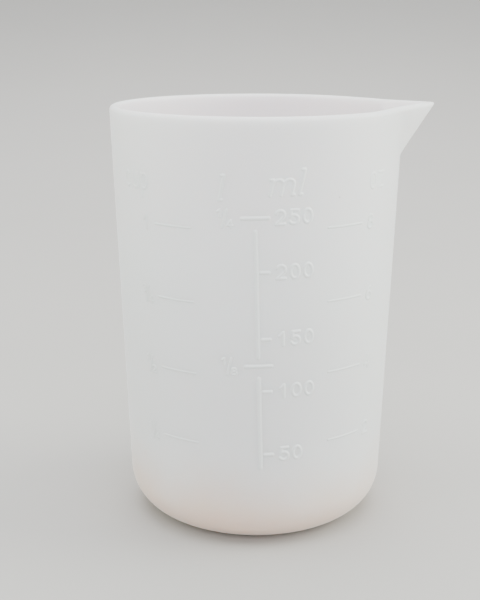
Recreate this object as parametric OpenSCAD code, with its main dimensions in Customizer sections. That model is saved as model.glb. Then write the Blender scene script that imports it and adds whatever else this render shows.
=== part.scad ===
// A soft silicone measuring and pouring cup with a V-shaped lip and raised scales.
// The origin is the centre of the underside. +Z is up, the lip points along +X,
// and the millilitre scale faces -Y. All sizes are in millimetres.

/* [Cup] */
// Height from the table to the flat part of the rim
cup_h = 104; // [80:1:130]
// Outer diameter at the rim
rim_d = 72; // [60:1:90]
// Outer diameter that the wall would have at the table, without the rounded heel
base_d = 64.4; // [52:0.2:80]
// Thickness of the side wall
wall_t = 2.2; // [1.6:0.1:3]
// Thickness of the floor
floor_t = 4; // [2:0.5:6]
// Radius of the rounded heel, outside
heel_r = 11; // [6:0.5:14]
// Radius of the rounded corner between wall and floor, inside
inner_heel_r = 8; // [4:0.5:11]
// Rounding of the two edges of the rim
rim_round = 0.7; // [0.2:0.1:0.8]

/* [Pouring lip] */
// How far the tip stands out past the rim
lip_reach = 8; // [5:0.5:12]
// How far below the rim the lip starts to leave the wall
lip_depth = 12.7; // [9:0.1:18]
// How much the tip is higher than the rim
tip_rise = 0.5; // [0:0.1:1]
// Radius of the tip, seen from above
tip_r = 3; // [2:0.5:4]
// Angle between each side of the lip and its middle line, seen from above
lip_half_angle = 52; // [48:1:56]
// Distance that the inside of the lip is set back from its outside, along X
lip_set_back = 2.9; // [2.4:0.1:4]

/* [Raised scales] */
// Height of the raised marks of the millilitre scale above the wall
relief = 0.3; // [0.2:0.1:0.8]
// Width of the raised lines
stroke_w = 0.9; // [0.6:0.1:1.1]
// Distance of the 250 ml mark below the rim
top_mark_drop = 22.2; // [20:0.1:26]
// Height of the 50 ml mark above the table
low_mark_z = 25; // [22:0.1:30]
// How much the millilitre scale leans to the left, in degrees
scale_lean = 1.5; // [0:0.1:3]
// Distance below the rim at which the leaning centre line crosses the front
lean_pivot_drop = 28; // [20:1:60]
// Half the length of the long ticks at 250 and 125 ml
long_tick = 3.4; // [2:0.1:3.7]
// Reach of the short ticks from the centre line
short_tick = 3.2; // [2:0.1:3.8]
// Clear gap between the centre line and the short ticks
tick_gap = 0.15; // [0.1:0.05:0.4]
// Clear gap between the centre line and the long ticks
stem_gap = 2.1; // [1:0.1:3]
// How far the centre line runs on below the 50 ml mark
stem_tail = 3.4; // [2:0.1:5]

/* [Numerals] */
// Width of the strokes of numerals and letters
char_stroke_w = 0.75; // [0.5:0.05:0.9]
// Height of a numeral
digit_h = 3.8; // [3:0.1:5]
// Width of a numeral
digit_w = 2.7; // [2.3:0.1:3.2]
// Gap between two characters
char_gap = 0.45; // [0.3:0.05:0.8]
// Distance from the centre line to the numerals on its right
char_margin = 4.25; // [4:0.05:5]
// Height of a fraction
fraction_h = 4.6; // [4:0.1:5.5]
// Width of a fraction
fraction_w = 4; // [3.6:0.1:4.8]
// Distance from the centre line to the fractions on its left
fraction_margin = 4.8; // [4:0.1:6]
// Height of the small figures in a fraction
small_h = 2.2; // [1.8:0.1:2.5]
// Width of the small figures in a fraction
small_w = 1.7; // [1.4:0.1:2]
// Stroke width of the small figures in a fraction
small_stroke_w = 0.55; // [0.4:0.05:0.7]

/* [Unit letters] */
// Height of the tall unit letters
letter_h = 6.2; // [5.5:0.1:7]
// Height of the low unit letters
x_height = 4.2; // [3.5:0.1:4.6]
// Distance of the unit letters' top below the rim
letters_drop = 11.4; // [10:0.1:12]
// Distance of the single litre letter's top below the rim
litre_drop = 12.2; // [10:0.1:12.5]
// Distance from the centre line to the millilitre letters
letters_margin = 2.9; // [2:0.1:4]
// Width of the letter m
m_w = 5.6; // [4.5:0.1:6.5]
// Width of the other low letters
narrow_w = 2.9; // [2.3:0.1:3.5]
// Clear gap between the letters m and l
unit_gap = 1.4; // [0.6:0.1:2]
// Length of the serifs on m and l
serif = 0.55; // [0.4:0.05:0.8]
// Slant of the letters m and l, in degrees
letter_slant = 14; // [0:1:18]

/* [Side scales] */
// Height of the raised marks of the side scales above the wall
side_relief = 0.15; // [0.1:0.05:0.6]
// Distance along the wall from the centre line to the ounce ticks
ounce_start = 16.8; // [16:0.1:18]
// Distance along the wall from the centre line to the cup ticks
cup_start = 14.8; // [13:0.1:17]
// Length of the side ticks
side_tick = 10.5; // [6:0.5:13]
// Width of the side ticks
side_tick_w = 0.6; // [0.4:0.1:0.9]
// Height of the lowest side ticks, a quarter cup or 2 oz
side_low_z = 27; // [24:0.5:32]
// Distance of the highest side ticks, one cup or 8 oz, below the rim
side_top_drop = 25; // [23:0.5:30]
// Clear gap between a side tick and its numeral
side_char_margin = 1.6; // [0.8:0.1:2.5]

/* [Hidden] */
silicone = [0.86, 0.88, 0.87];
raised = [0.93, 0.94, 0.94];
$fn = 96;

// Cone of the wall: the outer radius is base_r + draft * z
base_r = base_d / 2;
rim_r = rim_d / 2;
draft = (rim_r - base_r) / cup_h;
slant = sqrt(1 + draft * draft);
wall_in = wall_t * slant;
draft_angle = atan(draft);

// The heel ends and the wall starts a little above both rounded corners
seam_margin = 1;
seam_z = max(heel_r, floor_t + inner_heel_r) + seam_margin;
arc_steps = 16;

// Lip: its ridge runs in a straight line from the wall to the tip
tip_x = rim_r + lip_reach;
lip_root_z = cup_h - lip_depth;
rise_start_x = rim_r * sin(lip_half_angle);
// How far the uncut wedge runs on above the rim, and the radius of its sharp corners
lip_over = 2;
pin_r = 0.01;

// Marks: what share of the way from the 50 to the 250 ml mark each one stands at
long_marks = [["250", 1, "1/4"], ["125", 0.389, "1/8"]];
short_marks = [["200", 0.78], ["150", 0.502], ["100", 0.278], ["50", 0]];
numeral_marks = concat([long_marks[0]], short_marks);
side_marks = [[0, "2", "1/4"], [1, "4", "1/2"], [2, "6", "3/4"], [3, "8", "1"]];
top_mark_z = cup_h - top_mark_drop;
side_top_z = cup_h - side_top_drop;
letters_foot_z = cup_h - letters_drop - letter_h;
litre_foot_z = cup_h - litre_drop - letter_h;

// How far the blocks that the marks are cut from reach behind the wall's face and past it
block_in = 1;
block_out = 2;

function wall_r(z) = base_r + draft * z;
function ridge_x(z) = wall_r(lip_root_z)
    + (tip_x - wall_r(lip_root_z)) * (z - lip_root_z) / (lip_depth + tip_rise);
function mark_z(share) = low_mark_z + share * (top_mark_z - low_mark_z);
function side_mark_z(i) = side_low_z + i * (side_top_z - side_low_z) / (len(side_marks) - 1);
function lean_u(z) = (cup_h - lean_pivot_drop - z) * tan(scale_lean);
function wall_angle(u, z) = u / wall_r(z) * 180 / PI;

// Points on an arc about [cx, cy] with radii rx and ry, from angle a0 to a1
function arc(cx, cy, rx, ry, a0, a1, n = arc_steps) =
    [for (i = [0 : n]) let (a = a0 + (a1 - a0) * i / n) [cx + rx * cos(a), cy + ry * sin(a)]];

// ---- Cup body ----

// Solid cone that fits the outside of the wall, made larger all round by extra
module wall_cone(z0, z1, extra = 0) {
    translate([0, 0, z0])
        cylinder(h = z1 - z0, r1 = wall_r(z0) + extra, r2 = wall_r(z1) + extra);
}

// Outline of the base: rounded heel outside, rounded corner inside, flat underside
module base_outline() {
    outer_c = base_r + draft * heel_r - heel_r * slant;
    inner_z = floor_t + inner_heel_r;
    inner_c = wall_r(inner_z) - wall_in - inner_heel_r * slant;
    polygon(concat(
        [[0, 0]],
        arc(outer_c, heel_r, heel_r, heel_r, -90, -draft_angle),
        [[wall_r(seam_z), seam_z], [wall_r(seam_z) - wall_in, seam_z]],
        arc(inner_c, inner_z, inner_heel_r, inner_heel_r, -draft_angle, -90),
        [[0, floor_t]]
    ));
}

// Outline of the wall from the seam to the rim, with both rim edges rounded
module wall_outline() {
    rim_out = wall_r(cup_h);
    rim_in = rim_out - wall_in;
    polygon(concat(
        [[wall_r(seam_z) - wall_in, seam_z], [wall_r(seam_z), seam_z]],
        arc(rim_out - rim_round, cup_h - rim_round, rim_round, rim_round, 0, 90, 6),
        arc(rim_in + rim_round, cup_h - rim_round, rim_round, rim_round, 90, 180, 6)
    ));
}

// Wedge with the plan of a V and a straight sloping ridge, which starts at the wall.
// It runs lip_over above the rim, so that the top can be cut to its own slope.
module lip_wedge() {
    z1 = cup_h + lip_over;
    apex = ridge_x(z1) - tip_r + tip_r / sin(lip_half_angle);
    foot = apex * sin(lip_half_angle);
    hull() {
        translate([ridge_x(z1) - tip_r, 0, z1 - pin_r]) cylinder(h = pin_r, r = tip_r, $fn = 32);
        translate([wall_r(lip_root_z) - pin_r, 0, lip_root_z]) cylinder(h = pin_r, r = pin_r, $fn = 8);
        for (side = [-1, 1])
            rotate([0, 0, side * (90 - lip_half_angle)])
                translate([foot - pin_r, 0, z1 - pin_r])
                    cylinder(h = pin_r, r = pin_r, $fn = 8);
        translate([0, 0, lip_root_z]) cylinder(h = z1 - lip_root_z, r = rim_r / 3, $fn = 24);
    }
}

// Everything above the rim: level over the cup, then rising to the tip
module above_rim() {
    far = tip_x + lip_reach;
    slope = tip_rise / (tip_x - rise_start_x);
    rotate([90, 0, 0])
        linear_extrude(height = 2 * rim_d, center = true)
            polygon([
                [-far, cup_h], [rise_start_x, cup_h],
                [far, cup_h + (far - rise_start_x) * slope],
                [far, cup_h + 4 * lip_over], [-far, cup_h + 4 * lip_over]
            ]);
}

// The space inside the lip, which also opens the wall
module lip_channel() {
    translate([-lip_set_back, 0, 0]) lip_wedge();
}

module cup_base() {
    color(silicone) rotate_extrude() base_outline();
}

module cup_wall() {
    color(silicone)
        difference() {
            rotate_extrude() wall_outline();
            lip_channel();
        }
}

module pouring_lip() {
    color(silicone)
        difference() {
            lip_wedge();
            lip_channel();
            wall_cone(seam_z, cup_h + 2 * lip_over);
            above_rim();
        }
}

// ---- Raised marks ----

// Keeps only what lies between the wall and the given height above it
module in_relief(height = relief) {
    color(raised)
        intersection() {
            difference() {
                wall_cone(seam_z, cup_h - rim_round, height);
                wall_cone(seam_z - block_in, cup_h, 0);
            }
            union() children();
        }
}

// Stands a flat shape on the wall, u along the wall to the right of the front, z up
module on_wall(u, z) {
    rotate([0, 0, wall_angle(u, z)])
        translate([0, -wall_r(z) + block_in, z])
            rotate([90, 0, 0])
                linear_extrude(height = block_in + block_out) children();
}

// Stands a flat shape beside the leaning centre line, turned with it
module on_scale(u, z) {
    on_wall(lean_u(z) + u, z + u * tan(scale_lean)) rotate(scale_lean) children();
}

// A level raised line that follows the wall from u0 to u1
module wall_tick(u0, u1, z, w) {
    rotate([0, 0, wall_angle(u0, z) - 90])
        rotate_extrude(angle = wall_angle(u1 - u0, z))
            translate([wall_r(z) - block_in, z - w / 2])
                square([block_in + block_out, w]);
}

// A line of width w along points p, mitred at the bends and round at both ends
module stroke(p, w = char_stroke_w) {
    last = len(p) - 1;
    function dir(i) = let (v = p[min(i + 1, last)] - p[min(i, last - 1)]) v / norm(v);
    function side(i) =
        let (a = dir(max(i - 1, 0)), b = dir(i), s = a + b, m = s / norm(s))
        [-m.y, m.x] * w / 2 / max(0.5, m * b);
    function cap(i, v) =
        let (a0 = atan2(v.y, v.x))
        [for (k = [1 : 5]) p[i] + w / 2 * [cos(a0 - 30 * k), sin(a0 - 30 * k)]];
    polygon(concat(
        [for (i = [0 : last]) p[i] + side(i)],
        cap(last, side(last)),
        [for (i = [last : -1 : 0]) p[i] - side(i)],
        cap(0, -side(0))
    ));
}

// A closed oval line of width w
module ring(cx, cy, rx, ry, w = char_stroke_w) {
    difference() {
        polygon(arc(cx, cy, rx + w / 2, ry + w / 2, 0, 360 - 360 / 28, 27));
        polygon(arc(cx, cy, rx - w / 2, ry - w / 2, 0, 360 - 360 / 28, 27));
    }
}

// One numeral in a box w wide and h high, centred on the origin, of lines s wide
module digit(c, w = digit_w, h = digit_h, s = char_stroke_w) {
    bw = w - s;
    bh = h - s;
    function at(x, y) = [(x - 0.5) * bw, (y - 0.5) * bh];
    function bend(x, y, rx, ry, a0, a1) =
        arc((x - 0.5) * bw, (y - 0.5) * bh, rx * bw, ry * bh, a0, a1, 10);
    if (c == "0")
        ring(0, 0, bw / 2, bh / 2, s);
    if (c == "1") {
        stroke([at(0.6, 0), at(0.6, 1)], s);
        stroke([at(0.6, 1), at(0.15, 0.74)], s);
    }
    if (c == "2") {
        stroke(concat(bend(0.5, 0.7, 0.48, 0.3, 165, -38), [at(0, 0)]), s);
        stroke([at(0, 0), at(1, 0)], s);
    }
    if (c == "3") {
        stroke(bend(0.45, 0.76, 0.42, 0.24, 150, -90), s);
        stroke(bend(0.45, 0.26, 0.5, 0.26, 90, -150), s);
    }
    if (c == "4") {
        stroke([at(0.75, 0), at(0.75, 1)], s);
        stroke([at(0.75, 1), at(0, 0.3), at(1, 0.3)], s);
    }
    if (c == "5") {
        stroke([at(0.95, 1), at(0.15, 1)], s);
        stroke([at(0.15, 1), at(0.08, 0.52)], s);
        stroke(bend(0.45, 0.32, 0.53, 0.32, 140, -150), s);
    }
    if (c == "6") {
        ring(0, -0.2 * bh, bw / 2, 0.3 * bh, s);
        stroke(bend(1, 0.3, 1, 0.7, 180, 105), s);
    }
    if (c == "8") {
        ring(0, 0.26 * bh, 0.4 * bw, 0.24 * bh, s);
        ring(0, -0.24 * bh, bw / 2, 0.26 * bh, s);
    }
}

// A string of numerals beside the centre line, whose left edge is at u
module number_at(value, u, z) {
    for (i = [0 : len(value) - 1])
        on_scale(u + digit_w / 2 + i * (digit_w + char_gap), z) digit(value[i]);
}

// A fraction such as 1/4: small figures above and below a slanting bar
module fraction(value) {
    across = (fraction_w - small_w) / 2;
    up = (fraction_h - small_h) / 2;
    bar = [across / 2, (fraction_h - small_stroke_w) / 2];
    translate([-across, up]) digit(value[0], small_w, small_h, small_stroke_w);
    translate([across, -up]) digit(value[2], small_w, small_h, small_stroke_w);
    stroke([-bar, bar], small_stroke_w);
}

// Leans the points of a line to the right, as in italic letters
function slanted(p) = [for (q = p) [q.x + q.y * tan(letter_slant), q.y]];

// Unit letters, each centred across the origin with its foot on the base line
module letter(c) {
    half = char_stroke_w / 2;
    top = x_height - half;
    tall = letter_h - half;
    o_w = narrow_w / 2 - half;
    o_h = x_height / 2 - half;
    leg = m_w / 2 - half;
    if (c == "l")
        stroke(slanted([[-serif, tall], [0, tall], [0, half], [serif, half]]));
    if (c == "m") {
        stroke(slanted([[-leg - serif, top], [-leg, top], [-leg, half]]));
        stroke(slanted(concat(arc(-leg / 2, top - leg / 2, leg / 2, leg / 2, 160, 0, 8), [[0, half]])));
        stroke(slanted(concat(
            arc(leg / 2, top - leg / 2, leg / 2, leg / 2, 160, 0, 8),
            [[leg, half], [leg + serif, half]])));
    }
    if (c == "o")
        ring(0, x_height / 2, o_w, o_h);
    if (c == "z") {
        stroke([[-o_w, top], [o_w, top]]);
        stroke([[o_w, top], [-o_w, half]]);
        stroke([[-o_w, half], [o_w, half]]);
    }
    if (c == "c")
        stroke(arc(0, x_height / 2, o_w, o_h, 50, 310, 12));
    if (c == "u") {
        stroke(concat([[-o_w, top]], arc(0, half + o_w, o_w, o_w, 180, 360, 10)));
        stroke([[o_w, top], [o_w, half]]);
    }
    if (c == "p") {
        ring(0, x_height / 2, o_w, o_h);
        stroke([[-o_w, top], [-o_w, half - letter_h + x_height]]);
    }
}

module scale_line() {
    middle_z = mark_z(long_marks[1][1]);
    in_relief() {
        for (run = [
            [middle_z + stem_gap, top_mark_z - stem_gap - stroke_w],
            [low_mark_z - stem_tail, middle_z - stem_gap - stroke_w]
        ])
            let (half = (run[1] - run[0]) / 2)
                on_scale(0, run[0] + half) stroke([[0, -half], [0, half]], stroke_w);
    }
}

// A raised line beside the centre line, from u0 to u1 with its round ends
module scale_tick(u0, u1, z) {
    half = (u1 - u0 - stroke_w) / 2;
    on_scale((u0 + u1) / 2, z) stroke([[-half, 0], [half, 0]], stroke_w);
}

module millilitre_ticks() {
    in_relief() {
        for (m = long_marks)
            scale_tick(-long_tick, long_tick, mark_z(m[1]));
        for (m = short_marks)
            scale_tick(stroke_w / 2 + tick_gap, short_tick, mark_z(m[1]));
    }
}

module millilitre_numerals() {
    in_relief()
        for (m = numeral_marks)
            number_at(m[0], char_margin, mark_z(m[1]));
}

module litre_fractions() {
    in_relief()
        for (m = long_marks)
            on_scale(-fraction_margin - fraction_w / 2, mark_z(m[1])) fraction(m[2]);
}

module unit_letters() {
    pitch = narrow_w + char_gap;
    m_u = letters_margin + m_w / 2;
    ounce_u = ounce_start + side_tick + side_char_margin;
    cup_u = cup_start + side_tick + side_char_margin;
    in_relief() {
        on_scale(m_u, letters_foot_z) letter("m");
        on_scale(m_u + m_w / 2 + unit_gap, letters_foot_z) letter("l");
        on_scale(-fraction_margin - fraction_w + char_stroke_w, litre_foot_z) letter("l");
    }
    in_relief(side_relief) {
        for (i = [0 : 1])
            on_wall(ounce_u + (i + 0.5) * pitch, letters_foot_z) letter("oz"[i]);
        for (i = [0 : 2])
            on_wall((i - 2.5) * pitch - cup_u, letters_foot_z) letter("cup"[i]);
    }
}

module ounce_ticks() {
    in_relief(side_relief)
        for (m = side_marks)
            let (z = side_mark_z(m[0]), u = lean_u(z) + ounce_start)
                wall_tick(u, u + side_tick, z, side_tick_w);
}

module ounce_numerals() {
    in_relief(side_relief)
        for (m = side_marks)
            let (z = side_mark_z(m[0]), u = lean_u(z) + ounce_start + side_tick + side_char_margin)
                on_wall(u + digit_w / 2, z) digit(m[1]);
}

module cup_ticks() {
    in_relief(side_relief)
        for (m = side_marks)
            let (z = side_mark_z(m[0]), u = lean_u(z) - cup_start)
                wall_tick(u - side_tick, u, z, side_tick_w);
}

module cup_fractions() {
    in_relief(side_relief)
        for (m = side_marks)
            let (z = side_mark_z(m[0]), u = lean_u(z) - cup_start - side_tick - side_char_margin)
                if (len(m[2]) == 1)
                    on_wall(u - digit_w / 2, z) digit(m[2]);
                else
                    on_wall(u - fraction_w / 2, z) fraction(m[2]);
}

cup_wall();
cup_base();
pouring_lip();
scale_line();
millilitre_ticks();
millilitre_numerals();
litre_fractions();
unit_letters();
ounce_ticks();
ounce_numerals();
cup_ticks();
cup_fractions();
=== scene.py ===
"""A milky silicone measuring cup with a pouring lip and raised scales, in a small studio.

The cup body is one closed skin whose radius is a function of azimuth and height. The raised
marks are thin closed sheets laid on that skin, whose height comes from the distance to the
strokes of each character. Lengths are in metres, and azimuth 0 points along +X, to the lip.
"""

from __future__ import annotations

import logging
import math
from dataclasses import dataclass, field, replace
from enum import Enum

import bpy
import numpy as np
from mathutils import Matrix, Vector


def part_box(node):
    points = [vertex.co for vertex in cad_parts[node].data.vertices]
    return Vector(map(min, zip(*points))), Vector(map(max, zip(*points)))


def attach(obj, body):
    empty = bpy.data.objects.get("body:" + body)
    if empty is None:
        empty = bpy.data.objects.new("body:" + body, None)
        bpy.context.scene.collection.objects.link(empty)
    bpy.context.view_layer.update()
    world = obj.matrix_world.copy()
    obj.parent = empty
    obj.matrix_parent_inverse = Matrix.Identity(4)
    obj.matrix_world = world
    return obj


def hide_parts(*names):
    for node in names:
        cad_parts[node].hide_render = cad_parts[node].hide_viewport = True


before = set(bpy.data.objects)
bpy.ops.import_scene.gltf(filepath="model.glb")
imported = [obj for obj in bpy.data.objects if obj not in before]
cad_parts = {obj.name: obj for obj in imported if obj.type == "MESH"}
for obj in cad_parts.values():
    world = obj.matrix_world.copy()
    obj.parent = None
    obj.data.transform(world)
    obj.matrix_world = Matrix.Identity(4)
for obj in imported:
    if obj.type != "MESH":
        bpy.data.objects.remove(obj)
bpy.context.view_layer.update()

LOG = logging.getLogger("measuring_cup")
MM = 0.001
FRONT = -math.pi / 2
ROOT_BODY = "root"

Points = np.ndarray
Stroke = tuple[np.ndarray, float]


class Slot(Enum):
    """Names of the record's material slots."""

    SILICONE = "silicone"
    MARKS = "raised_marks"


class Side(Enum):
    """Which face of the wall a radius is asked for."""

    OUTSIDE = "outside"
    INSIDE = "inside"


class Figure(Enum):
    """How large and bold a numeral is drawn."""

    FULL = "full"
    SMALL = "small"


def smooth_max(a: Points, b: Points, blend: float) -> Points:
    """Returns the larger of two heights with the corner between them filled by a hyperbola.

    The result is the mean of a and b plus half the root of their squared difference and the
    squared blend length.

    Args:
        a: First values.
        b: Second values.
        blend: Size of the fillet, in the same unit.

    Returns:
        The blended maximum.
    """
    return 0.5 * (a + b + np.sqrt((a - b) ** 2 + blend**2))


def smooth_step(low: float, high: float, x: Points) -> Points:
    """Returns three t squared less two t cubed, where t runs from 0 at low to 1 at high."""
    t = np.clip((x - low) / (high - low), 0.0, 1.0)
    return t * t * (3.0 - 2.0 * t)


def new_object(name: str, data: bpy.types.ID) -> bpy.types.Object:
    """Makes an object that shows the data and links it to the scene.

    Args:
        name: Name of the object.
        data: Its mesh, light or camera.

    Returns:
        The new object.
    """
    thing = bpy.data.objects.new(name, data)
    bpy.context.scene.collection.objects.link(thing)
    return thing


def new_piece(name: str, vertices: Points, faces: list[Points]) -> bpy.types.Object:
    """Makes a smooth-shaded mesh object at the origin.

    Args:
        name: Name of the object and its mesh.
        vertices: Array of N by 3 places.
        faces: Arrays of vertex numbers, one array per number of corners.

    Returns:
        The new object, linked to the scene.
    """
    mesh = bpy.data.meshes.new(name)
    corners = np.concatenate([f.ravel() for f in faces]).astype(np.int32)
    sizes = np.concatenate([np.full(len(f), f.shape[1]) for f in faces]).astype(np.int32)
    starts = np.concatenate([[0], np.cumsum(sizes)[:-1]]).astype(np.int32)
    mesh.vertices.add(len(vertices))
    mesh.vertices.foreach_set("co", vertices.astype(np.float32).ravel())
    mesh.loops.add(len(corners))
    mesh.loops.foreach_set("vertex_index", corners)
    mesh.polygons.add(len(sizes))
    mesh.polygons.foreach_set("loop_start", starts)
    mesh.polygons.foreach_set("use_smooth", np.ones(len(sizes), dtype=bool))
    mesh.update(calc_edges=True)
    mesh.validate()
    return new_object(name, mesh)


def grid_quads(rows: int, columns: int, wrap: bool) -> Points:
    """Returns the corner numbers of a grid's quads.

    Args:
        rows: Number of rows of vertices.
        columns: Number of vertices in a row.
        wrap: True if the last column joins the first.

    Returns:
        Array of M by 4 vertex numbers, row by row.
    """
    number = np.arange(rows * columns).reshape(rows, columns)
    right = np.roll(number, -1, axis=1)
    if not wrap:
        number, right = number[:, :-1], right[:, :-1]
    quads = np.stack([number[:-1], right[:-1], right[1:], number[1:]], axis=-1)
    return quads.reshape(-1, 4)


# ---------------------------------------------------------------- shape of the cup


@dataclass(frozen=True)
class PouringLip:
    """The V-shaped lip, as the radius that its two sides reach at each azimuth and height.

    Attributes:
        tip_x: Reach of the tip.
        tip_rise: Height of the tip above the level rim.
        rim_z: Height of the level rim.
        root_radius: The wall's radius where the ridge leaves it.
        depth: How far below the rim the ridge leaves the wall.
        tip_radius: Rounding of the V at the rim, seen from above.
        least_share: Smallest share of that rounding, at the ridge's foot.
        half_angle: Angle between a side and the ridge.
        set_back: How far the inner V lies behind the outer one.
        fall_off: Fall of the radius for each radian past the foot of a side.
        fillet: Size of the fillet between the V and the wall.
    """

    tip_x: float
    tip_rise: float
    rim_z: float
    root_radius: float
    depth: float = 12.7 * MM
    tip_radius: float = 3.0 * MM
    least_share: float = 0.05
    half_angle: float = math.radians(52.0)
    set_back: float = 2.9 * MM
    fall_off: float = 28.0 * MM
    fillet: float = 0.45 * MM

    @property
    def root_z(self) -> float:
        """Height at which the ridge leaves the wall."""
        return self.rim_z - self.depth

    def radius(self, azimuth: Points, z: Points, side: Side) -> Points:
        """Returns the distance from the cup's axis to the sides of the V.

        The ridge climbs in a straight line from the wall to the tip. Seen from above, each
        side is a straight line at the half angle, so its radius is its least distance from
        the axis over the cosine of the angle from there. Past that foot the radius falls
        away quickly. The tip is rounded by adding a small angle in quadrature.

        Args:
            azimuth: Angle from +X.
            z: Height above the table.
            side: Which face of the lip.

        Returns:
            The radius, which is smaller than the wall's away from the lip.
        """
        climb = (z - self.root_z) / (self.depth + self.tip_rise)
        ridge = self.root_radius + (self.tip_x - self.root_radius) * climb
        tip = self.tip_radius * np.clip(climb, self.least_share, 1.0)
        if side is Side.INSIDE:
            ridge = ridge - self.set_back
        apex = ridge + tip * (1.0 / math.sin(self.half_angle) - 1.0)
        least = apex * math.sin(self.half_angle)
        foot = math.pi / 2 - self.half_angle
        rounding = foot - np.arccos(np.clip(least / ridge, -1.0, 1.0))
        turn = np.sqrt(azimuth**2 + rounding**2)
        inside_foot = least / np.cos(np.maximum(foot - turn, 0.0))
        return inside_foot - self.fall_off * np.maximum(turn - foot, 0.0)

    def rim_lift(self, x: Points) -> Points:
        """Returns how much the rim is raised at x, level over the cup and then up to the tip."""
        start = self.root_radius * math.sin(self.half_angle)
        return self.tip_rise * np.clip((x - start) / (self.tip_x - start), 0.0, 1.0)


@dataclass(frozen=True)
class WallShape:
    """Radius and height of every face of the moulding, worked out from its CAD boxes.

    Attributes:
        rim_z: Height of the level rim.
        rim_radius: Outer radius at that height.
        lip: The lip that the wall is blended into.
        base_radius: Outer radius of the wall's slope at the table.
        wall: Thickness of the wall.
        floor: Thickness of the floor.
        heel: Radius of the outer bend at the foot.
        inner_heel: Radius of the inner bend.
        rim_round: Radius of the rim's edges.
        tip_round: Radius of the same edges at the tip.
        blend_gain: How far the fillet carries the tip outwards.
    """

    rim_z: float
    rim_radius: float
    lip: PouringLip
    base_radius: float = 32.2 * MM
    wall: float = 2.2 * MM
    floor: float = 4.0 * MM
    heel: float = 11.0 * MM
    inner_heel: float = 8.0 * MM
    rim_round: float = 0.95 * MM
    tip_round: float = 0.4 * MM
    blend_gain: float = 0.03 * MM

    @classmethod
    def from_frame(cls) -> "WallShape":
        """Reads the cup's height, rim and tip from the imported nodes.

        Returns:
            The shape that fits them.
        """
        wall_low, wall_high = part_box("cup_wall")
        lip_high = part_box("pouring_lip")[1]
        rim_z, rim_radius = wall_high.z, -wall_low.x
        draft = (rim_radius - cls.base_radius) / rim_z
        root_z = rim_z - PouringLip.depth
        lip = PouringLip(
            tip_x=lip_high.x - cls.blend_gain,
            tip_rise=lip_high.z - rim_z,
            rim_z=rim_z,
            root_radius=cls.base_radius + draft * root_z,
        )
        return cls(rim_z=rim_z, rim_radius=rim_radius, lip=lip)

    @property
    def draft(self) -> float:
        """How much the wall's radius grows for each unit of height."""
        return (self.rim_radius - self.base_radius) / self.rim_z

    @property
    def slant(self) -> float:
        """Length of the wall's slope for each unit of height."""
        return math.hypot(1.0, self.draft)

    def cone(self, z: Points) -> Points:
        """Returns the outer radius of the plain wall at height z."""
        return self.base_radius + self.draft * z

    def radius(self, azimuth: Points, z: Points, side: Side = Side.OUTSIDE) -> Points:
        """Returns the wall's radius, blended into the lip by a fillet.

        Args:
            azimuth: Angle from +X.
            z: Height above the table.
            side: Which face of the wall.

        Returns:
            The radius of that face.
        """
        plain = self.cone(z)
        if side is Side.INSIDE:
            plain = plain - self.wall * self.slant
        return smooth_max(plain, self.lip.radius(azimuth, z, side), self.lip.fillet)

    def on_wall(self, azimuth: Points, z: Points, out: Points) -> Points:
        """Returns the places that stand out from the wall's outer face by the height out."""
        r = self.radius(azimuth, z) + out
        return np.stack([r * np.cos(azimuth), r * np.sin(azimuth), z], axis=-1)


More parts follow.
